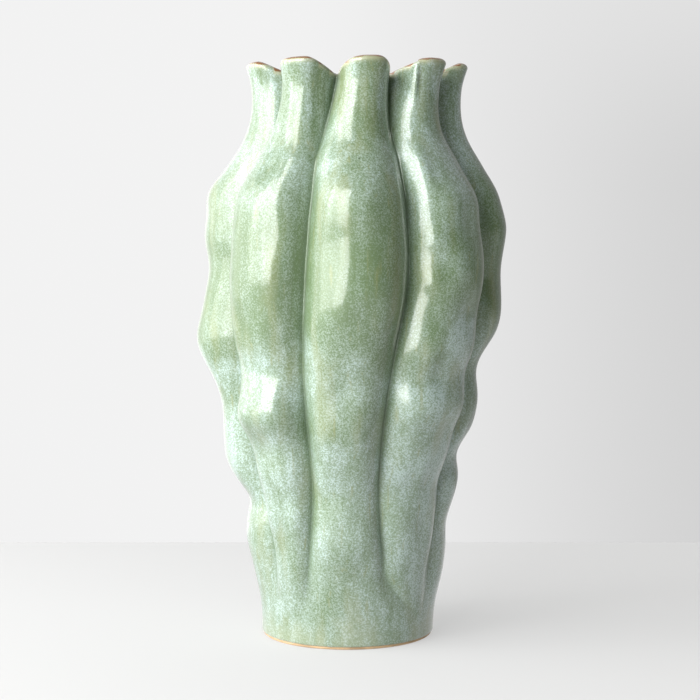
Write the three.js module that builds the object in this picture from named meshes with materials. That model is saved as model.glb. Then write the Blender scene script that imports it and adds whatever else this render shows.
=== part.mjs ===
// Stoneware vase: nine hand-pressed lobes stand round a pinched neck and end in a scalloped rim.
// Millimetres, +Z up, the front of the vase faces -Y. The origin is under the middle of the vase.
import * as THREE from 'three';

// Overall size
const HEIGHT = 400;
const FOOT_RADIUS = 60.5;
const LEAN = 6.5;              // the rim stands this far to +X of the foot
const MIDDLE = [-2.6, 1.6];    // puts the middle of the whole vase, not of its foot, over the origin

// Thicknesses, from the outside in
const OUTER_COAT = 0.8;
const CLAY = 5;
const INNER_COAT = 0.8;
const GAP = 0.4;

// Stack of the base, from the table up
const GLAZE_HEM = 2;
const FOOT_RING_HEIGHT = 4;
const SLAB_THICKNESS = 6;
const SLAB_RADIUS = FOOT_RADIUS - 1.5;
const RING_WIDTH = 12;
const RING_CHAMFER = 1.3;
const SLAB_BOTTOM = FOOT_RING_HEIGHT + GAP;
const SLAB_TOP = SLAB_BOTTOM + SLAB_THICKNESS;
const WALL_BOTTOM = SLAB_TOP + GAP;

// Radius against height, for the crest of a lobe and for the floor of a groove
const CREST = [
  [0, 60.5], [20, 62], [50, 68], [100, 75.5], [150, 87.5], [200, 99], [250, 104.5],
  [290, 105], [310, 102], [330, 90], [350, 78], [370, 73.8], [385, 74.2], [400, 78.8],
];
const GROOVE = [
  [0, 60.5], [20, 60.5], [40, 61.5], [75, 64.8], [117, 68], [145, 73], [200, 82], [250, 85],
  [295, 84], [315, 80], [332, 74], [350, 62], [370, 53], [385, 50.5], [400, 50],
];

// How boxy a lobe's section is, and how widely neighbouring lobes blend in the groove
const BOXINESS = [[0, 2], [150, 2.3], [300, 2.6], [350, 2.5], [400, 2.7]];
const BLEND = [[0, 1], [25, 7], [60, 6], [150, 4], [400, 3]];
const RIM_DIP = 9;             // depth of the rim's scallops
const RIM_DIP_START = 330;

// Each lobe: the groove on its left as [height, azimuth], and the knuckles pressed along it as
// [height, swell, half-length]. Azimuth 0 is the front, and grows towards +X.
const LOBES = [
  {
    groove: [[0, -57], [60, -52], [125, -62], [200, -64], [300, -63], [360, -58], [400, -54]],
    knuckles: [[245, 2, 25], [192, -3, 13], [160, 8, 14], [118, 1, 12], [90, 2, 12]],
  },
  {
    groove: [[0, -24], [45, -25], [100, -22], [180, -23.5], [240, -22.5], [300, -20.5],
      [360, -19.5], [400, -13.5]],
    knuckles: [[303, 3, 18], [237, 3, 22], [190, -2, 14], [147, 3, 16], [106, -2, 12], [72, 3, 14]],
  },
  {
    groove: [[0, 52], [22, 45], [34, 33], [48, 24], [70, 20.5], [205, 20], [250, 25], [300, 24],
      [340, 22.5], [400, 25.5]],
    knuckles: [[303, 1, 14], [257, 4, 20], [212, 2, 14], [190, -2, 9], [165, 4, 13],
      [112, -3, 12], [80, 1, 12]],
  },
  {
    groove: [[0, 58], [60, 60], [200, 67], [300, 66], [360, 62], [400, 64.5]],
    knuckles: [[291, 2, 12], [258, -1, 15], [228, 2, 14], [190, -8.5, 20], [130, -6.5, 14],
      [78, -3, 14]],
  },
  {
    groove: [[0, 100], [200, 105], [400, 99]],
    knuckles: [[280, 3, 20], [210, 3, 20], [140, 3, 16]],
  },
  {
    groove: [[0, 142], [200, 144], [400, 141]],
    knuckles: [[300, 3, 20], [240, 3, 20], [160, 3, 16]],
  },
  {
    groove: [[0, 182], [200, 180], [400, 183]],
    knuckles: [[280, 3, 20], [210, 3, 20], [140, 3, 16]],
  },
  {
    groove: [[0, 222], [200, 218], [400, 222]],
    knuckles: [[290, 3, 20], [230, 3, 20], [150, 3, 16]],
  },
  {
    groove: [[0, 262], [200, 255], [300, 256], [400, 264]],
    knuckles: [[313, 2, 12], [260, -3.5, 18], [207, 9, 24], [148, 2, 14], [126, 6.5, 16],
      [97, -4, 10], [66, 2, 14]],
  },
];

// Grid of the lobed skins: phases across a lobe (-1 is its left groove) and heights up the wall
const PHASES = [-1, -0.7, -0.35, 0, 0.35, 0.7];
const HEIGHTS = [
  WALL_BOTTOM, 22, 34, 48, 68, 88, 107, 126, 145, 162, 180, 198, 217, 237, 257, 277, 295, 311,
  327, 343, 358, 372, 386, 400,
];

// A smooth curve through points given as [x, y]
function curveThrough(points, x) {
  const last = points.length - 1;
  const slope = (i) => (points[i + 1][1] - points[i][1]) / (points[i + 1][0] - points[i][0]);
  const step = (i) => points[i + 1][0] - points[i][0];
  const tangent = (i) => {
    if (i === 0) return slope(0);
    if (i === last) return slope(last - 1);
    return (slope(i) * step(i - 1) + slope(i - 1) * step(i)) / (step(i - 1) + step(i));
  };
  const at = THREE.MathUtils.clamp(x, points[0][0], points[last][0]);
  let i = 0;
  while (i < last - 1 && at >= points[i + 1][0]) i += 1;
  const t = (at - points[i][0]) / step(i);
  const start = (1 + 2 * t) * (1 - t) ** 2 * points[i][1] + t * (1 - t) ** 2 * step(i) * tangent(i);
  const end = t * t * (3 - 2 * t) * points[i + 1][1] + t * t * (t - 1) * step(i) * tangent(i + 1);
  return start + end;
}

// Radius of a lobe at a phase from its crest (0) to its groove (1), and past it up to 2
function lobeRadius(crest, groove, phase, height) {
  return groove + (crest - groove) * (1 - phase ** curveThrough(BOXINESS, height));
}

// A point of the outer skin. The phase runs from -1 in the lobe's left groove to +1 in its right.
function skinPoint(index, phase, nominalHeight) {
  const away = Math.abs(phase);
  const flank = Math.max(0, away - 0.4) / 0.6;
  const fall = flank ** 2 * (1.5 - 0.5 * flank);
  const rise = THREE.MathUtils.smoothstep(nominalHeight, RIM_DIP_START, HEIGHT);
  const height = nominalHeight - RIM_DIP * fall * rise;

  const next = (index + 1) % LOBES.length;
  const left = curveThrough(LOBES[index].groove, height);
  const right = curveThrough(LOBES[next].groove, height) + (next === 0 ? 360 : 0);
  const azimuth = THREE.MathUtils.degToRad((left + right) / 2 + phase * (right - left) / 2);

  const plainCrest = curveThrough(CREST, height);
  const groove = curveThrough(GROOVE, height);
  let crest = plainCrest;
  for (const [middle, swell, reach] of LOBES[index].knuckles) {
    crest += swell * Math.exp(-(((height - middle) / reach) ** 2));
  }
  const own = lobeRadius(crest, groove, away, height);
  const neighbour = lobeRadius(plainCrest, groove, 2 - away, height);
  const blend = curveThrough(BLEND, height);
  const overlap = Math.max(blend - Math.abs(own - neighbour), 0);
  const radius = Math.max(own, neighbour) + overlap ** 2 / (4 * blend);

  return new THREE.Vector3(
    radius * Math.sin(azimuth) + LEAN * height / HEIGHT,
    -radius * Math.cos(azimuth),
    height,
  );
}

// A ring of skin points round the vase at one height
function skinRing(height) {
  return LOBES.flatMap((lobe, index) => PHASES.map((phase) => skinPoint(index, phase, height)));
}

// The normal of the patch corner at a point, between the edges to two of its neighbours
function cornerNormal(point, first, second) {
  return first.clone().sub(point).cross(second.clone().sub(point)).normalize();
}

// The lobed skin moved inwards by a depth, as rings from the bottom one up. The points of the
// bottom and top rings move level, so that the foot and the lip are flat across.
function skin(depth, bottom) {
  const heights = [bottom, ...HEIGHTS.filter((height) => height > bottom + 1)];
  const rings = heights.map(skinRing);
  return rings.map((ring, row) => ring.map((point, column) => {
    const before = ring[(column + ring.length - 1) % ring.length];
    const after = ring[(column + 1) % ring.length];
    const below = rings[row - 1]?.[column];
    const above = rings[row + 1]?.[column];
    const corners = [[after, above], [above, before], [before, below], [below, after]]
      .filter(([first, second]) => first && second)
      .map(([first, second]) => cornerNormal(point, first, second));
    const outward = corners.reduce((sum, normal) => sum.add(normal), new THREE.Vector3());
    outward.divideScalar(corners.length);
    if (row === 0 || row === rings.length - 1) outward.setZ(0);
    return point.clone().addScaledVector(outward, -depth / outward.lengthSq());
  }));
}

// A level circle of points
function circle(radius, height, count = 72) {
  return Array.from({ length: count }, (unused, i) => {
    const angle = 2 * Math.PI * i / count;
    return new THREE.Vector3(radius * Math.sin(angle), -radius * Math.cos(angle), height);
  });
}

// Collects rings and their faces into one closed geometry
class Surface {
  constructor() {
    this.points = [];
    this.faces = [];
  }

  addRing(ring) {
    const first = this.points.length;
    this.points.push(...ring);
    return ring.map((point, i) => first + i);
  }

  // Faces between two rings. They face out when the second ring is above the first, and in when
  // turned. Both ways split each four-sided patch along the same diagonal, so nested skins run
  // parallel.
  join(lower, upper, turned = false) {
    lower.forEach((corner, i) => {
      const j = (i + 1) % lower.length;
      if (turned) this.faces.push(upper[j], lower[j], corner, upper[i], upper[j], corner);
      else this.faces.push(corner, lower[j], upper[j], corner, upper[j], upper[i]);
    });
  }

  // A flat lid over a ring, facing up or down
  cap(ring, facingUp) {
    const middle = new THREE.Vector3();
    ring.forEach((corner) => middle.add(this.points[corner]));
    const [centre] = this.addRing([middle.divideScalar(ring.length)]);
    ring.forEach((corner, i) => {
      const after = ring[(i + 1) % ring.length];
      this.faces.push(...(facingUp ? [corner, after, centre] : [after, corner, centre]));
    });
  }

  geometry() {
    const geometry = new THREE.BufferGeometry();
    const positions = this.points.flatMap((point) => point.toArray());
    geometry.setAttribute('position', new THREE.Float32BufferAttribute(positions, 3));
    geometry.setIndex(this.faces);
    geometry.computeVertexNormals();
    return geometry;
  }
}

// A closed tube of material between an outer and an inner stack of rings, both given bottom up
function tubeShell(outerRings, innerRings) {
  const surface = new Surface();
  const outer = outerRings.map((ring) => surface.addRing(ring));
  const inner = innerRings.map((ring) => surface.addRing(ring));
  outer.slice(1).forEach((ring, i) => surface.join(outer[i], ring));
  inner.slice(1).forEach((ring, i) => surface.join(inner[i], ring, true));
  surface.join(outer.at(-1), inner.at(-1));
  surface.join(inner[0], outer[0]);
  return surface.geometry();
}

// The same, with a floor across the bottom of both stacks
function cupShell(outerRings, innerRings) {
  const surface = new Surface();
  const outer = outerRings.map((ring) => surface.addRing(ring));
  const inner = innerRings.map((ring) => surface.addRing(ring));
  outer.slice(1).forEach((ring, i) => surface.join(outer[i], ring));
  inner.slice(1).forEach((ring, i) => surface.join(inner[i], ring, true));
  surface.join(outer.at(-1), inner.at(-1));
  surface.cap(outer[0], false);
  surface.cap(inner[0], true);
  return surface.geometry();
}

// Depths of the four faces below the outer skin
const CLAY_OUTSIDE = OUTER_COAT + GAP;
const CLAY_INSIDE = CLAY_OUTSIDE + CLAY;
const LINER_OUTSIDE = CLAY_INSIDE + GAP;
const LINER_INSIDE = LINER_OUTSIDE + INNER_COAT;

const glazeGreen = new THREE.MeshStandardMaterial({ color: 0x9fb89a, roughness: 0.18 });
const linerGreen = new THREE.MeshStandardMaterial({ color: 0x93a88a, roughness: 0.22 });
const bareClay = new THREE.MeshStandardMaterial({ color: 0xcfa97c, roughness: 0.85 });
const hiddenClay = new THREE.MeshStandardMaterial({ color: 0xc09a70, roughness: 0.9 });

const vase = new THREE.Group();
vase.position.set(...MIDDLE, 0);

function addPiece(name, geometry, material) {
  const mesh = new THREE.Mesh(geometry, material);
  mesh.name = name;
  vase.add(mesh);
  return mesh;
}

// Clay wall: the lobed body, from the slab to the lip
addPiece(
  'lobed_wall',
  tubeShell(skin(CLAY_OUTSIDE, WALL_BOTTOM), skin(CLAY_INSIDE, WALL_BOTTOM)),
  hiddenClay,
);

// Clay slab that closes the bottom
const slab = addPiece(
  'floor_slab',
  new THREE.CylinderGeometry(SLAB_RADIUS, SLAB_RADIUS, SLAB_THICKNESS, 72),
  hiddenClay.clone(),
);
slab.rotation.x = Math.PI / 2;
slab.position.z = SLAB_BOTTOM + SLAB_THICKNESS / 2;

// Bare foot ring under the slab, with a small chamfer where it meets the table
const ringInside = SLAB_RADIUS - RING_WIDTH;
addPiece(
  'foot_ring',
  tubeShell(
    [
      circle(SLAB_RADIUS - RING_CHAMFER, 0),
      circle(SLAB_RADIUS, RING_CHAMFER),
      circle(SLAB_RADIUS, FOOT_RING_HEIGHT),
    ],
    [
      circle(ringInside + RING_CHAMFER, 0),
      circle(ringInside, RING_CHAMFER),
      circle(ringInside, FOOT_RING_HEIGHT),
    ],
  ),
  bareClay,
);

// Outer glaze: the glassy coat over the outside, stopping short of the table
addPiece('outer_glaze', tubeShell(skin(0, GLAZE_HEM), skin(OUTER_COAT, GLAZE_HEM)), glazeGreen);

// Inner glaze: the watertight coat over the inside and the floor
addPiece(
  'liner_glaze',
  cupShell(skin(LINER_OUTSIDE, WALL_BOTTOM), skin(LINER_INSIDE, WALL_BOTTOM + INNER_COAT)),
  linerGreen,
);

export default vase;
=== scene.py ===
"""A tall stoneware vase with nine hand-pressed lobes, under a glossy mottled green glaze.

Shapes are worked out in millimetres, with azimuth 0 at the front (-Y) and growing towards +X,
and are turned into metres as each mesh is made.
"""
import math

import bpy
import numpy as np
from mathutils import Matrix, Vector


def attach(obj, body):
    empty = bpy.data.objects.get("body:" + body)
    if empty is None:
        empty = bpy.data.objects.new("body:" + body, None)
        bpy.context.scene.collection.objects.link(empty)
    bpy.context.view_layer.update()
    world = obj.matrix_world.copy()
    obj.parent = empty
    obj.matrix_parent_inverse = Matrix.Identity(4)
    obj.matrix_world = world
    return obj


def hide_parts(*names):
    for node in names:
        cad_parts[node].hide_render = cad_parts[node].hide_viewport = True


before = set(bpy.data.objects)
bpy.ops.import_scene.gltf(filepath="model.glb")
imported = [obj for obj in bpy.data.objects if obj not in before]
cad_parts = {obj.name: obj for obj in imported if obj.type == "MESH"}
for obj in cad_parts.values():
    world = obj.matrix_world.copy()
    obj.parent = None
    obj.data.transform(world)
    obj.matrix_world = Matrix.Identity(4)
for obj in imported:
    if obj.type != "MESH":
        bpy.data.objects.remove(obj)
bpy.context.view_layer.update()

# ---------------------------------------------------------------- sizes, in millimetres

HEIGHT = 400.0
FOOT_RADIUS = 60.5
LEAN = 6.5
MIDDLE = (-2.6, 1.6)

CREST = [
    (0, 60.5), (20, 62), (50, 68), (100, 75.5), (150, 87.5), (200, 99), (250, 104.5),
    (290, 105), (310, 102), (330, 90), (350, 78), (370, 73.8), (385, 74.2), (400, 78.8),
]
GROOVE = [
    (0, 60.5), (20, 60.5), (40, 61.5), (75, 64.8), (117, 68), (145, 73), (200, 82), (250, 85),
    (295, 84), (315, 80), (332, 74), (350, 62), (370, 53), (385, 50.5), (400, 50),
]
BOXINESS = [(0, 2), (30, 2.5), (80, 3.1), (160, 3), (230, 2.7), (300, 2.6), (350, 2.5), (400, 2.7)]
BLEND = [(0, 1), (25, 5), (60, 3), (150, 2.2), (400, 2.2)]
RIM_DIP = 9.0
RIM_DIP_START = 330.0
CREST_REACH = 0.4          # the rim is level up to this phase, and dips beyond it
RIPPLE = 0.35              # the fine unevenness of the whole skin

# Each lobe: the groove on its left as (height, azimuth), and the knuckles pressed along it as
# (height, swell, half-length)
LOBES = [
    {
        "groove": [(0, -57), (60, -52), (125, -62), (200, -64), (300, -63), (360, -58), (400, -54)],
        "knuckles": [(245, 2, 25), (192, -3, 13), (160, 8, 14), (118, 1, 12), (90, 2, 12)],
    },
    {
        "groove": [(0, -24), (45, -25), (100, -22), (180, -23.5), (240, -22.5), (300, -20.5),
                   (360, -19.5), (400, -13.5)],
        "knuckles": [(303, 3, 18), (237, 3, 22), (190, -2, 14), (147, 3, 16), (106, -2, 12),
                     (72, 3, 14)],
    },
    {
        "groove": [(0, 52), (22, 45), (34, 33), (48, 24), (70, 20.5), (205, 20), (250, 25),
                   (300, 24), (340, 22.5), (400, 25.5)],
        "knuckles": [(303, 1, 14), (257, 4, 20), (212, 2, 14), (190, -2, 9), (165, 4, 13),
                     (112, -3, 12), (80, 1, 12)],
    },
    {
        "groove": [(0, 58), (60, 60), (200, 67), (300, 66), (360, 62), (400, 64.5)],
        "knuckles": [(291, 2, 12), (258, -1, 15), (228, 2, 14), (190, -8.5, 20),
                     (130, -6.5, 14), (78, -3, 14)],
    },
    {
        "groove": [(0, 100), (200, 105), (400, 99)],
        "knuckles": [(280, 3, 20), (210, 3, 20), (140, 3, 16)],
    },
    {
        "groove": [(0, 142), (200, 144), (400, 141)],
        "knuckles": [(300, 3, 20), (240, 3, 20), (160, 3, 16)],
    },
    {
        "groove": [(0, 182), (200, 180), (400, 183)],
        "knuckles": [(280, 3, 20), (210, 3, 20), (140, 3, 16)],
    },
    {
        "groove": [(0, 222), (200, 218), (400, 222)],
        "knuckles": [(290, 3, 20), (230, 3, 20), (150, 3, 16)],
    },
    {
        "groove": [(0, 262), (200, 255), (300, 256), (400, 264)],
        "knuckles": [(313, 2, 12), (260, -3.5, 18), (207, 9, 24), (148, 2, 14), (126, 6.5, 16),
                     (97, -4, 10), (66, 2, 14)],
    },
]

# Marks left by the maker's hands: (azimuth, height, depth, width, length). The azimuth and the
# width are in degrees, the rest in mm. A mark of negative depth is a raised fold.
HAND_MARKS = [
    (27.5, 388, 4.6, 3, 13), (33.5, 387, -3.0, 1.3, 12), (29, 326, -4, 4.5, 20), (11, 300, 1.6, 5, 22),
    (18, 305, -0.9, 1.1, 26), (-17, 298, 0.7, 0.8, 20),
    (32, 282, -2, 4, 9), (31, 252, -1.6, 3.5, 7),
    (-10, 268, 1.3, 5, 16), (6, 232, 1.4, 6, 9), (-4, 178, 1.4, 6, 10), (10, 150, 1.2, 5, 12),
    (-3, 100, -1.4, 7, 14), (8, 62, 1.2, 6, 14), (-40, 328, 1.4, 5, 14), (-33, 282, 1.5, 5, 15),
    (-46, 222, 1.5, 5, 12), (-36, 176, -1.6, 5, 10), (-44, 138, 1.6, 5, 12), (-36, 92, 1.4, 5, 14),
    (47, 296, 1.5, 5, 14), (36, 262, 1.5, 4, 12), (49, 232, 1.4, 5, 10), (38, 196, 1.5, 4, 12),
    (47, 152, 1.4, 5, 12), (38, 120, -1.3, 4, 12), (44, 84, 1.2, 5, 12), (-82, 300, 1.4, 6, 16),
    (-74, 238, -1.4, 6, 14), (-86, 182, 1.5, 6, 12), (-76, 128, 1.4, 6, 12), (84, 308, 1.4, 6, 16),
    (76, 250, 1.4, 6, 14), (88, 214, -1.2, 6, 12), (80, 150, 1.4, 6, 12), (86, 96, 1.2, 6, 12),
    (122, 300, 1.5, 6, 16), (118, 230, 1.4, 6, 14), (126, 160, 1.5, 6, 14), (162, 270, 1.5, 6, 15),
    (158, 190, 1.4, 6, 13), (166, 120, 1.4, 6, 14), (202, 310, 1.5, 6, 16), (198, 228, 1.4, 6, 13),
    (205, 150, 1.5, 6, 14), (240, 290, 1.4, 6, 15), (236, 200, 1.5, 6, 13), (244, 110, 1.4, 6, 14),
]

COAT = 0.8                 # thickness of a coat of glaze
WALL = 7.2                 # the whole wall, both coats included
LIP_RISE = 2.6             # how far the rounded lip stands above the wall's straight part
GLAZE_HEM = 1.9            # bare clay shows below this height
BASE_TOP = 10.8
GAP = 0.4                  # between the pieces
FOOT_WIDTH = 13.3          # of the bare ring that the vase stands on
FOOT_HEIGHT = 4.0
COLUMNS = 44               # columns of the finest grid across one lobe


# ---------------------------------------------------------------- the hand-pressed shape

def curve_through(points, x):
    """A smooth curve through (x, y) points."""
    xs, ys = np.array(points, float).T
    step = np.diff(xs)
    slope = np.diff(ys) / step
    tangent = np.empty_like(ys)
    tangent[1:-1] = (slope[1:] * step[:-1] + slope[:-1] * step[1:]) / (step[:-1] + step[1:])
    tangent[0], tangent[-1] = slope[0], slope[-1]
    x = np.clip(x, xs[0], xs[-1])
    i = np.clip(np.searchsorted(xs, x, side="right") - 1, 0, len(xs) - 2)
    t = (x - xs[i]) / step[i]
    start = (1 + 2 * t) * (1 - t) ** 2 * ys[i] + t * (1 - t) ** 2 * step[i] * tangent[i]
    end = t * t * (3 - 2 * t) * ys[i + 1] + t * t * (t - 1) * step[i] * tangent[i + 1]
    return start + end


def smooth_step(x, low, high):
    t = np.clip((x - low) / (high - low), 0, 1)
    return t * t * (3 - 2 * t)


def lobe_radius(crest, groove, phase, height):
    """Radius of a lobe from its crest (phase 0) to its groove (1), and past it up to 2."""
    return groove + (crest - groove) * (1 - phase ** curve_through(BOXINESS, height))


def hand_marks(azimuth, height):
    """How deep the maker's hands pressed the skin, in mm."""
    depth = RIPPLE * np.sin(3 * azimuth + height / 9) * np.sin(5 * azimuth - height / 14 + 1)
    for where, middle, pressed, width, length in HAND_MARKS:
        across = (np.degrees(azimuth) - where + 180) % 360 - 180
        depth += pressed * np.exp(-(across / width) ** 2 - ((height - middle) / length) ** 2)
    return depth * smooth_step(height, 20, 50)


def skin_points(index, phase, nominal_height):
    """Points of the outer skin. The phase is -1 in the lobe's left groove and +1 in its right."""
    away = np.abs(phase)
    rise = smooth_step(nominal_height, RIM_DIP_START, HEIGHT)
    flank = np.maximum(away - CREST_REACH, 0) / (1 - CREST_REACH)
    height = nominal_height - RIM_DIP * flank ** 2 * (1.5 - 0.5 * flank) * rise

    following = (index + 1) % len(LOBES)
    left = curve_through(LOBES[index]["groove"], height)
    right = curve_through(LOBES[following]["groove"], height) + (360 if following == 0 else 0)
    azimuth = np.radians((left + right) / 2 + phase * (right - left) / 2)

    plain_crest = curve_through(CREST, height)
    groove = curve_through(GROOVE, height)
    crest = plain_crest.copy()
    for middle, swell, reach in LOBES[index]["knuckles"]:
        crest += swell * np.exp(-((height - middle) / reach) ** 2)
    own = lobe_radius(crest, groove, away, height)
    neighbour = lobe_radius(plain_crest, groove, 2 - away, height)
    blend = curve_through(BLEND, height)
    overlap = np.maximum(blend - np.abs(own - neighbour), 0)
    radius = np.maximum(own, neighbour) + overlap ** 2 / (4 * blend)
    radius -= hand_marks(azimuth, height)

    x = radius * np.sin(azimuth) + LEAN * height / HEIGHT
    y = -radius * np.cos(azimuth)
    return np.stack([x, y, height], -1)


def lobe_phases(columns):
    """Phases across one lobe, closer together towards its grooves."""
    even = np.linspace(-1, 1, columns, endpoint=False)
    return 1.3 * even - 0.3 * even ** 3


def skin(heights, columns=COLUMNS):
    """The outer skin as an array of rings: [height, column, xyz]."""
    phase, height = np.meshgrid(lobe_phases(columns), np.asarray(heights, float))
    return np.concatenate([skin_points(i, phase, height) for i in range(len(LOBES))], axis=1)


def unit(vectors):
    return vectors / np.linalg.norm(vectors, axis=-1, keepdims=True)


def outward(rings):
    """Unit normals of a stack of rings, pointing out of the vase."""
    along = np.roll(rings, -1, axis=1) - np.roll(rings, 1, axis=1)
    up = np.gradient(rings, axis=0)
    return unit(np.cross(along, up))


def lip_rings(angles):
    """Rings over the rounded lip: 0 is its outer edge, 90 its top and 180 its inner edge."""
    below = skin([HEIGHT - LIP_RISE - 1, HEIGHT - LIP_RISE])
    normal = outward(below)[1]
    up = unit(below[1] - below[0])
    centre = below[1] - normal * WALL / 2
    turns = [math.radians(angle) for angle in angles]
    return np.stack([
        centre + normal * WALL / 2 * math.cos(turn) + up * LIP_RISE * math.sin(turn)
        for turn in turns
    ])


# ---------------------------------------------------------------- meshes

def moved_in(rings, depth):
    """The rings moved towards the inside of the vase by a depth."""
    return rings - outward(rings) * depth


def add_object(name, corners, faces, material):
    """A new mesh object in the scene, in metres."""
    mesh = bpy.data.meshes.new(name)
    mesh.from_pydata(corners, [], faces)
    mesh.materials.append(material)
    added = bpy.data.objects.new(name, mesh)
    bpy.context.scene.collection.objects.link(added)
    return added


def make_piece(name, rings, material, node, capped=False):
    """A smooth closed piece through a stack of rings, in millimetres about the foot's axis. The
    last ring joins the first, or each of the two is capped."""
    count, columns = rings.shape[:2]
    metres = (rings.reshape(-1, 3) + np.array([*MIDDLE, 0])) / 1000
    faces = []
    for row in range(count - 1 if capped else count):
        low, high = row * columns, (row + 1) % count * columns
        faces += [
            (low + i, low + (i + 1) % columns, high + (i + 1) % columns, high + i)
            for i in range(columns)
        ]
    if capped:
        faces.append(tuple(range(columns))[::-1])
        faces.append(tuple(range((count - 1) * columns, count * columns)))
    piece = add_object(name, metres.tolist(), faces, material)
    piece.data.polygons.foreach_set("use_smooth", [True] * len(faces))
    piece.data.update()
    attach(piece, "root")
    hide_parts(node)
    return piece


def turned_rings(profile, segments=160):
    """Rings turned about the foot's axis from a (radius, height) outline."""
    angle = np.linspace(0, 2 * math.pi, segments, endpoint=False)
    return np.array([
        np.stack([radius * np.sin(angle), -radius * np.cos(angle), np.full(segments, height)], -1)
        for radius, height in profile
    ])


def rounded_corner(centre, radius, start, end, steps=5):
    """Points of an arc in a (radius, height) outline, between two angles in degrees."""
    angles = [math.radians(start + (end - start) * i / steps) for i in range(steps + 1)]
    return [(centre[0] + radius * math.cos(a), centre[1] + radius * math.sin(a)) for a in angles]


def outer_glaze_rings():
    """The coat of glaze outside: up the outside, over the outer half of the lip, and back."""
    heights = np.linspace(GLAZE_HEM + 0.9, HEIGHT - LIP_RISE, 160)
    outside = skin(heights)
    hem = np.repeat(outside[:1], 3, axis=0)
    middle = hem.mean(axis=1, keepdims=True)
    hem = middle + (hem - middle) * (1 - np.array([0.9, 0.45, 0.1]) / FOOT_RADIUS)[:, None, None]
    hem[..., 2] = np.array([0, 0.2, 0.6])[:, None] + GLAZE_HEM
    lip = lip_rings([15, 30, 45, 60, 75, 90])
    behind = moved_in(outside, COAT)[::-4]
    behind_lip = lip[-1:] - [0, 0, COAT]
    return np.concatenate([hem, outside, lip, behind_lip, behind[1:]])


def liner_rings():
    """The coat of glaze inside: from the middle of its underside, up behind the coat, over the
    inner half of the lip, down the inside and in to the middle of the floor."""
    heights = np.linspace(BASE_TOP + 8, HEIGHT - LIP_RISE, 110)
    outside = skin(heights)
    inside = moved_in(outside, WALL)[::-1]
    behind = moved_in(outside, WALL - COAT)[::4]
    lip = lip_rings([90, 105, 120, 135, 150, 165])
    floor = floor_rings(inside[-1], BASE_TOP + COAT)
    underside = floor_rings(behind[0], BASE_TOP)[::-1]
    return np.concatenate([underside, behind[:-1], lip[:1] - [0, 0, COAT], lip, inside, floor])


def floor_rings(rim, height):
    """Rings that turn from the foot of a wall, round a corner, and across to the middle."""
    middle = rim.mean(axis=0)
    corner = rim[:, 2].mean() - height
    size = FOOT_RADIUS - WALL
    rings = []
    for angle in (20, 40, 60, 75, 90):
        turn = math.radians(angle)
        ring = middle + (rim - middle) * (1 - corner * (1 - math.cos(turn)) / size)
        ring[:, 2] = height + corner * (1 - math.sin(turn))
        rings.append(ring)
    edge = rings[-1]
    for share in (0.8, 0.6, 0.4, 0.2, 0.02):
        ring = middle + (edge - middle) * share
        ring[:, 2] = height
        rings.append(ring)
    return np.array(rings)


def clay_wall_rings():
    """The clay between the two coats."""
    outside = skin(np.linspace(BASE_TOP, HEIGHT - LIP_RISE - COAT, 64), columns=24)
    return np.concatenate([
        moved_in(outside, COAT + GAP),
        moved_in(outside, WALL - COAT - GAP)[::-1],
    ])


def foot_outline():
    """The foot ring's outline: rounded where it meets the table, and open underneath."""
    outer = FOOT_RADIUS - 0.7
    inner = outer - FOOT_WIDTH
    inner_round, outer_round = 1.5, 1.1
    return (
        rounded_corner((inner + inner_round, inner_round), inner_round, 180, 270)
        + rounded_corner((outer - outer_round, outer_round), outer_round, 270, 360)
        + [(outer, FOOT_HEIGHT), (inner, FOOT_HEIGHT)]
    )


def slab_outline():
    """The slab's outline, with its edge rounded."""
    outer, low, high = FOOT_RADIUS - 1.3, FOOT_HEIGHT + 0.2, BASE_TOP - GAP
    return (
        [(1, low)] + rounded_corner((outer - 1, low + 1), 1, 270, 360)
        + rounded_corner((outer - 1, high - 1), 1, 0, 90) + [(1, high)]
    )


# ---------------------------------------------------------------- materials

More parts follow.
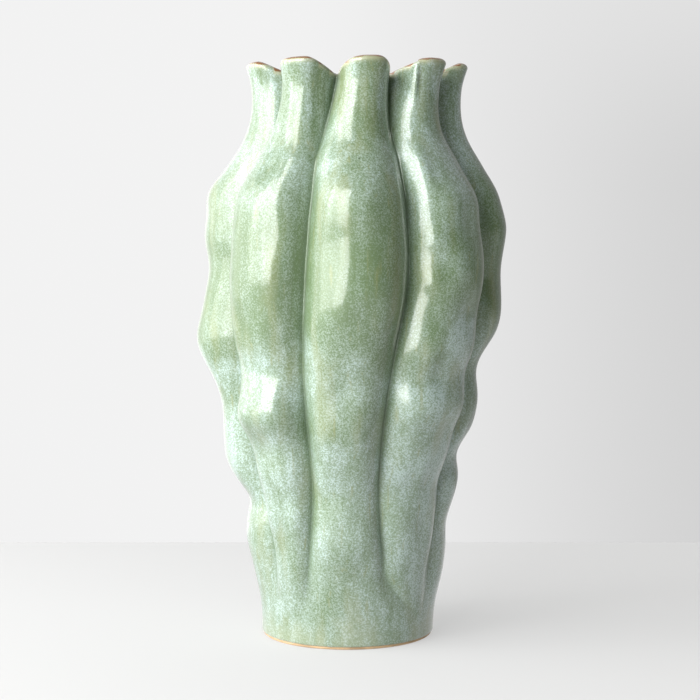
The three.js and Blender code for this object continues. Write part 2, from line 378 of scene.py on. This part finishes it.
class Shader:
    """A material under construction: adds nodes and links them as they are named."""

    def __init__(self, name):
        self.material = bpy.data.materials.new(name)
        self.material.use_nodes = True
        self.nodes = self.material.node_tree.nodes
        self.links = self.material.node_tree.links
        self.surface = self.nodes["Principled BSDF"]
        self.place = self.add("ShaderNodeTexCoord").outputs["Object"]

    def add(self, kind, inputs=None, **settings):
        node = self.nodes.new(kind)
        for key, value in settings.items():
            setattr(node, key, value)
        for key, value in (inputs or {}).items():
            self.set(node.inputs[key], value)
        return node

    def set(self, socket, value):
        if isinstance(value, bpy.types.NodeSocket):
            self.links.new(value, socket)
        else:
            socket.default_value = value

    def stretched(self, scale):
        """The place on the object, scaled differently along each axis."""
        mapping = self.add("ShaderNodeMapping", {"Vector": self.place, "Scale": scale})
        return mapping.outputs["Vector"]

    def noise(self, size, detail=2, roughness=0.5, stretch=(1, 1, 1), offset=0.0):
        """Noise whose features are about size millimetres across."""
        node = self.add(
            "ShaderNodeTexNoise",
            {
                "Vector": self.stretched(stretch),
                "W": offset,
                "Scale": 1000 / size,
                "Detail": detail,
                "Roughness": roughness,
            },
            noise_dimensions="4D",
        )
        return node.outputs["Fac"]

    def remap(self, value, low, high, to_low=0.0, to_high=1.0):
        node = self.add(
            "ShaderNodeMapRange",
            {"Value": value, "From Min": low, "From Max": high, "To Min": to_low, "To Max": to_high},
            interpolation_type="SMOOTHSTEP",
        )
        return node.outputs["Result"]

    def math(self, operation, first, second):
        node = self.add("ShaderNodeMath", {0: first, 1: second}, operation=operation)
        return node.outputs["Value"]

    def mix(self, factor, first, second, blend="MIX"):
        node = self.add("ShaderNodeMix", data_type="RGBA", blend_type=blend)
        self.set(node.inputs["Factor"], factor)
        self.set(node.inputs["A"], first)
        self.set(node.inputs["B"], second)
        return node.outputs["Result"]

    def along(self, axis):
        """Distance along an axis, in metres: "Z" is the height above the table."""
        return self.add("ShaderNodeSeparateXYZ", {"Vector": self.place}).outputs[axis]

    def steps(self, value, stops):
        """A grey level that follows (position, level) stops."""
        node = self.add("ShaderNodeValToRGB", {"Fac": value})
        ramp = node.color_ramp
        while len(ramp.elements) < len(stops):
            ramp.elements.new(0.5)
        for element, (position, level) in zip(ramp.elements, stops):
            element.position = position
            element.color = (level, level, level, 1)
        return node.outputs["Color"]

    def bump(self, height, distance, strength=1.0, normal=None):
        node = self.add(
            "ShaderNodeBump", {"Height": height, "Distance": distance, "Strength": strength}
        )
        if normal:
            self.set(node.inputs["Normal"], normal)
        return node.outputs["Normal"]


# Glaze colours, as light reflected
DEEP_GREEN = (0.100, 0.148, 0.070, 1)
MID_GREEN = (0.178, 0.238, 0.170, 1)
ICE = (0.350, 0.432, 0.412, 1)
OLIVE = (0.185, 0.200, 0.080, 1)
BEIGE = (0.38, 0.37, 0.24, 1)
FOOT_OLIVE = (0.27, 0.29, 0.18, 1)
# Darker green along the bottom of the grooves: partly pooled glaze, partly painted shade
POOLED_AND_SHADED_GREEN = (0.085, 0.130, 0.070, 1)
PINHOLE = (0.02, 0.03, 0.015, 1)
TOASTED = (0.20, 0.10, 0.045, 1)
TAN_CLAY = (0.50, 0.34, 0.19, 1)

# How pale the glaze is against height, in mm. It lies thick and pale below each hand-pressed
# waist, and the deep green above ends in a sharp line.
PALENESS = [
    (0, 0.50), (28, 0.52), (60, 0.50), (100, 0.52), (140, 0.55), (152, 0.56), (160, 0.40),
    (178, 0.42), (194, 0.56), (206, 0.58), (222, 0.26), (262, 0.08), (300, 0.24), (340, 0.50),
    (372, 0.38), (400, 0.36),
]

# Painted light and shade from side to side, as the light falls: the glaze is painted paler on
# the left (-X) and on the right-front lobe, and darker on the far right (+X). (x where the
# change starts, x where it ends, change), in metres
PAINTED_SIDE_LIGHT_AND_SHADE = [(-0.020, -0.045, 0.05), (0.020, 0.045, 0.16), (0.070, 0.095, -0.20)]


def glaze_material(name, paler=0.0):
    """Glossy green glaze: fine ice-blue crystals over olive green, in bands and clouds, thin and
    olive at the edges, with pooled glaze and painted shade along the grooves, and painted light
    and shade from side to side."""
    shader = Shader(name)
    cloud = shader.noise(34, detail=4, roughness=0.55, stretch=(1, 1, 0.7), offset=1.3)
    patch = shader.noise(17, detail=2, roughness=0.5, stretch=(1, 1, 0.8), offset=4.1)
    runs = shader.noise(6, detail=3, roughness=0.6, stretch=(1, 1, 0.1), offset=7.7)
    grain = shader.noise(1.05, detail=1, roughness=0.8, offset=2.2)
    crystals = shader.noise(1.0, detail=1, roughness=0.6, offset=9.4)

    drift = shader.math("MULTIPLY", shader.math("SUBTRACT", cloud, 0.5), 0.12)
    wander = shader.math("ADD", shader.along("Z"), shader.math("ADD", drift, 0.010))
    band = shader.steps(
        shader.math("DIVIDE", wander, HEIGHT / 1000),
        [(height / HEIGHT, level) for height, level in PALENESS],
    )
    pale = shader.math("ADD", band, shader.remap(patch, 0.3, 0.7, -0.11, 0.11))
    runny = shader.remap(shader.along("Z"), 0.33, 0.39, 0.10, 0.24)
    flow = shader.math("MULTIPLY", shader.remap(runs, 0.3, 0.7, -1.0, 1.0), runny)
    pale = shader.math("ADD", pale, flow)
    pale = shader.math("ADD", pale, shader.remap(grain, 0.3, 0.7, -0.27, 0.27))
    # painted light and shade: the glaze is paler or darker from side to side as the light falls
    for start, end, change in PAINTED_SIDE_LIGHT_AND_SHADE:
        side = shader.remap(shader.along("X"), start, end, 0.0, change)
        pale = shader.math("ADD", pale, side)
    pale = shader.math("ADD", pale, paler)
    colour = shader.mix(shader.remap(pale, 0.0, 0.55), DEEP_GREEN, MID_GREEN)
    colour = shader.mix(shader.remap(pale, 0.40, 1.05), colour, ICE)

    streaks = shader.noise(14, detail=4, stretch=(1, 1, 0.2), offset=12.5)
    tinge = shader.remap(streaks, 0.5, 0.7)
    colour = shader.mix(shader.math("MULTIPLY", tinge, 0.35), colour, OLIVE)
    trickles = shader.noise(3.2, detail=2, stretch=(1, 1, 0.07), offset=15.1)
    trickle = shader.remap(trickles, 0.62, 0.72)
    colour = shader.mix(shader.math("MULTIPLY", trickle, 0.45), colour, OLIVE)
    fleck = shader.remap(crystals, 0.56, 0.72)
    colour = shader.mix(shader.math("MULTIPLY", fleck, 0.16), colour, ICE)

    foot = shader.remap(wander, 0.036, 0.010)
    colour = shader.mix(shader.math("MULTIPLY", foot, 0.35), colour, FOOT_OLIVE)
    # darker green along the grooves: partly pooled glaze, partly painted shade
    pooled_and_shade = shader.add("ShaderNodeAttribute", attribute_name="pooled_and_shade").outputs["Fac"]
    colour = shader.mix(shader.math("MULTIPLY", pooled_and_shade, 0.7), colour, POOLED_AND_SHADED_GREEN)
    cells = shader.add(
        "ShaderNodeTexVoronoi", {"Vector": shader.place, "Scale": 1000 / 28}
    ).outputs["Distance"]
    pinhole = shader.remap(cells, 0.022, 0.014)
    colour = shader.mix(pinhole, colour, PINHOLE)
    thin = shader.add("ShaderNodeAttribute", attribute_name="thin").outputs["Fac"]
    faded = shader.remap(thin, 0.0, 0.7, 0.0, 0.62)
    colour = shader.mix(faded, colour, BEIGE)
    worn = shader.math("MULTIPLY", thin, shader.remap(patch, 0.3, 0.6, 0.82, 1.05))
    colour = shader.mix(shader.remap(worn, 0.70, 0.86), colour, TOASTED)
    shader.set(shader.surface.inputs["Base Color"], colour)

    peel = shader.bump(shader.noise(7, detail=1, offset=3.3), 0.00014)
    pits = shader.bump(grain, 0.00004, normal=peel)
    shader.set(shader.surface.inputs["Roughness"], 0.34)
    shader.set(shader.surface.inputs["IOR"], 1.52)
    shader.set(shader.surface.inputs["Specular IOR Level"], 0.22)
    shader.set(shader.surface.inputs["Normal"], pits)
    shader.set(shader.surface.inputs["Coat Weight"], 0.88)
    shader.set(shader.surface.inputs["Coat Roughness"], 0.13)
    shader.set(shader.surface.inputs["Coat IOR"], 1.5)
    shader.set(shader.surface.inputs["Coat Normal"], peel)
    return shader.material


def clay_material(name, colour):
    """Bare fired clay with fine grog and toasted flecks."""
    shader = Shader(name)
    tone = shader.noise(9, detail=4, offset=5.1)
    grog = shader.noise(0.8, detail=3, roughness=0.7, offset=6.2)
    darker = tuple(channel * 0.68 for channel in colour[:3]) + (1,)
    base = shader.mix(shader.remap(tone, 0.35, 0.65), darker, colour)
    base = shader.mix(shader.remap(grog, 0.6, 0.75, 0.0, 0.5), base, TOASTED)
    shader.set(shader.surface.inputs["Base Color"], base)
    shader.set(shader.surface.inputs["Roughness"], 0.82)
    shader.set(shader.surface.inputs["Normal"], shader.bump(grog, 0.00015))
    return shader.material


def points_of(piece):
    """The piece's points, in millimetres about the foot's axis."""
    points = np.empty(len(piece.data.vertices) * 3)
    piece.data.vertices.foreach_get("co", points)
    return points.reshape(-1, 3) * 1000 - [*MIDDLE, 0]


def set_attribute(piece, name, values):
    """Stores a number at each point of the piece, for its material to read."""
    attribute = piece.data.attributes.new(name, "FLOAT", "POINT")
    attribute.data.foreach_set("value", values.astype(np.float32))


def mark_thin_glaze(piece, reach=5.0):
    """Marks where the glaze ran thin: 1 along the lip, fading over reach millimetres below it."""
    points = points_of(piece)
    rim = lip_rings([90])[0, ::6]
    squared = ((points[:, None, :2] - rim[None, :, :2]) ** 2).sum(-1)
    nearest = squared.argmin(axis=1)
    below = rim[nearest, 2] - points[:, 2]
    set_attribute(piece, "thin", np.clip(1 - below / reach, 0, 1))


def mark_pooled_glaze_and_shade(piece, width=1.7):
    """Marks the grooves for pooled glaze and painted shade: 1 along the middle of a groove, fading
    over width millimetres to each side, and weaker towards the foot."""
    points = points_of(piece)
    across = points[:, 0] - LEAN * points[:, 2] / HEIGHT
    radius = np.hypot(across, points[:, 1])
    azimuth = np.degrees(np.arctan2(across, -points[:, 1]))
    pooled_and_shade = np.zeros(len(points))
    for lobe in LOBES:
        away = (azimuth - curve_through(lobe["groove"], points[:, 2]) + 180) % 360 - 180
        distance = np.radians(away) * radius
        pooled_and_shade = np.maximum(pooled_and_shade, np.exp(-(distance / width) ** 2))
    set_attribute(piece, "pooled_and_shade", pooled_and_shade * smooth_step(points[:, 2], 15, 70))


# ---------------------------------------------------------------- the vase

outer_glaze = glaze_material("celadon_glaze")
# The glaze inside is painted a little darker than outside: painted shade inside the vase.
inner_glaze = glaze_material("inner_glaze", paler=-0.1)
bare_clay = clay_material("bare_clay", TAN_CLAY)
body_clay = clay_material("body_clay", TAN_CLAY)

coat = make_piece("glaze_coat", outer_glaze_rings(), outer_glaze, "outer_glaze")
liner = make_piece(
    "glaze_liner", liner_rings(), inner_glaze, "liner_glaze", capped=True
)
mark_thin_glaze(coat)
mark_thin_glaze(liner)
mark_pooled_glaze_and_shade(coat)
make_piece("clay_wall", clay_wall_rings(), body_clay, "lobed_wall")
make_piece("clay_foot", turned_rings(foot_outline()), bare_clay, "foot_ring")
make_piece(
    "clay_floor", turned_rings(slab_outline()), body_clay, "floor_slab", capped=True
)


# ---------------------------------------------------------------- floor, light and camera

TABLE_EDGE = 0.358         # the floor ends this far behind the vase, in metres
FLOOR_REACH = 4.0          # and this far from it to the front and to each side
CARD_RADIUS = 1.15
ROOM_RADIUS = 6.0

# Lights that leave no reflection: (name, azimuth, distance, height, (width, height), power)
SOFTBOXES = [
    ("window", -29, 1.6, 0.72, (0.95, 1.25), 29),
    ("tall_window", -61, 1.6, 0.80, (1.2, 1.45), 47),
    ("side_window", -97, 1.6, 0.85, (1.3, 1.5), 33),
    ("fill", 12, 2.4, 1.2, (1.6, 1.2), 7),
]

# Cards that only leave reflections: (name, azimuths they reach between, lowest and highest
# point, brightness)
REFLECTION_CARDS = [
    ("window_card", -14, -38, 0.12, 2.3, 9.3),
    ("tall_card", -38, -76, 0.12, 1.9, 6.2),
    ("side_card", -76, -115, 0.0, 1.35, 2.8),
    ("corner_card", -115, -165, -1.5, 1.35, 1.4),
    ("wall_card", -165, -198, -1.5, 2.5, 0.9),
    ("dim_card", -198, -265, -1.5, 2.5, 0.35),
]


def glowing_surface(name, grey, glow):
    """A matt grey surface that also gives off light of its own."""
    material = bpy.data.materials.new(name)
    material.use_nodes = True
    surface = material.node_tree.nodes["Principled BSDF"]
    surface.inputs["Base Color"].default_value = (grey, grey, grey * 0.995, 1)
    surface.inputs["Emission Color"].default_value = (1, 1, 0.995, 1)
    surface.inputs["Emission Strength"].default_value = glow
    surface.inputs["Roughness"].default_value = 0.9
    surface.inputs["Specular IOR Level"].default_value = 0.1
    return material


def stage_plane(name, corners, material):
    plane = add_object(name, corners, [(0, 1, 2, 3)], material)
    return plane


def softbox(name, azimuth, distance, height, size, power, aim_height=0.2):
    """A rectangular light at an azimuth round the vase, facing it."""
    light = bpy.data.lights.new(name, "AREA")
    light.shape = "RECTANGLE"
    light.size, light.size_y = size
    light.energy = power
    lamp = bpy.data.objects.new(name, light)
    turn = math.radians(azimuth)
    lamp.location = (distance * math.sin(turn), -distance * math.cos(turn), height)
    aim = Vector((0, 0, aim_height)) - lamp.location
    lamp.rotation_euler = aim.to_track_quat("-Z", "Y").to_euler()
    lamp.visible_camera = False
    lamp.visible_glossy = False
    bpy.context.scene.collection.objects.link(lamp)


def reflection_card(name, start, end, low, top, glow):
    """A glowing curved card between two azimuths, which shows only as a reflection."""
    steps = round(abs(end - start) / 6)
    turns = [math.radians(start + (end - start) * i / steps) for i in range(steps + 1)]
    corners = [
        (CARD_RADIUS * math.sin(turn), -CARD_RADIUS * math.cos(turn), height)
        for height in (low, top) for turn in turns
    ]
    row = len(turns)
    faces = [(i, i + 1, row + i + 1, row + i) for i in range(steps)]
    card = add_object(name, corners, faces, glowing_surface(name, 0, glow))
    card.visible_camera = card.visible_diffuse = card.visible_shadow = False


def far_wall_material():
    """Pale grey that glows, and fades towards +X as it gets further from the windows."""
    shader = Shader("far_wall")
    level = shader.remap(shader.along("X"), -0.4, 1.7, 0.89, 0.64)
    # Painted light: the wall glows a little brighter higher up towards +X.
    high = shader.remap(shader.along("Z"), 0.4, 1.4, 0.0, 1.0)
    lift = shader.math("MULTIPLY", high, shader.remap(shader.along("X"), 0.2, 1.7, 0.0, 0.12))
    tone = shader.add("ShaderNodeCombineColor")
    for channel in ("Red", "Green", "Blue"):
        shader.set(tone.inputs[channel], shader.math("ADD", level, lift))
    shader.set(shader.surface.inputs["Emission Color"], tone.outputs["Color"])
    shader.set(shader.surface.inputs["Emission Strength"], 1.0)
    shader.set(shader.surface.inputs["Base Color"], (0, 0, 0, 1))
    shader.set(shader.surface.inputs["Specular IOR Level"], 0.0)
    return shader.material


def far_wall(segments=48, bottom=-6, top=8):
    """The far wall of the room: a closed drum that only the camera sees."""
    turns = [2 * math.pi * i / segments for i in range(segments)]
    corners = [
        (ROOM_RADIUS * math.sin(turn), ROOM_RADIUS * math.cos(turn), height)
        for height in (bottom, top) for turn in turns
    ]
    faces = [
        (i, (i + 1) % segments, segments + (i + 1) % segments, segments + i)
        for i in range(segments)
    ]
    faces += [tuple(range(segments)), tuple(range(segments, 2 * segments))]
    drum = add_object("far_wall", corners, faces, far_wall_material())
    drum.visible_diffuse = drum.visible_glossy = drum.visible_shadow = False
    drum.visible_transmission = drum.visible_volume_scatter = False


stage_plane(
    "floor",
    [(-FLOOR_REACH, -FLOOR_REACH, 0), (FLOOR_REACH, -FLOOR_REACH, 0),
     (FLOOR_REACH, TABLE_EDGE, 0), (-FLOOR_REACH, TABLE_EDGE, 0)],
    glowing_surface("pale_floor", 0.22, 0.49),
)
# A wall at the floor's edge, hidden from view and from reflections. It bounces soft light onto the
# back of the vase.
reflector = stage_plane(
    "reflector",
    [(-FLOOR_REACH, TABLE_EDGE, 0), (FLOOR_REACH, TABLE_EDGE, 0),
     (FLOOR_REACH, TABLE_EDGE, FLOOR_REACH), (-FLOOR_REACH, TABLE_EDGE, FLOOR_REACH)],
    glowing_surface("pale_wall", 0.14, 0.56),
)
reflector.visible_camera = False
reflector.visible_glossy = False
for card in REFLECTION_CARDS:
    reflection_card(*card)
far_wall()
for light in SOFTBOXES:
    softbox(*light)

world = bpy.data.worlds.new("soft_room")
world.use_nodes = True
world.node_tree.nodes["Background"].inputs["Color"].default_value = (1, 1, 1, 1)
world.node_tree.nodes["Background"].inputs["Strength"].default_value = 0.06
bpy.context.scene.world = world
bpy.context.scene.view_settings.view_transform = "Standard"

LENS = 92.06                 # focal length in mm, on a sensor 36 mm wide
VIEWPOINT = (-0.0008, -1.2624, 0.2895)
LOOKS_DOWN = 4               # degrees below the horizon

camera = bpy.data.objects.new("camera", bpy.data.cameras.new("camera"))
camera.data.sensor_width = 36
camera.data.lens = LENS
camera.location = VIEWPOINT
camera.rotation_euler = (math.radians(90 - LOOKS_DOWN), 0, 0)
bpy.context.scene.collection.objects.link(camera)
bpy.context.scene.camera = camera
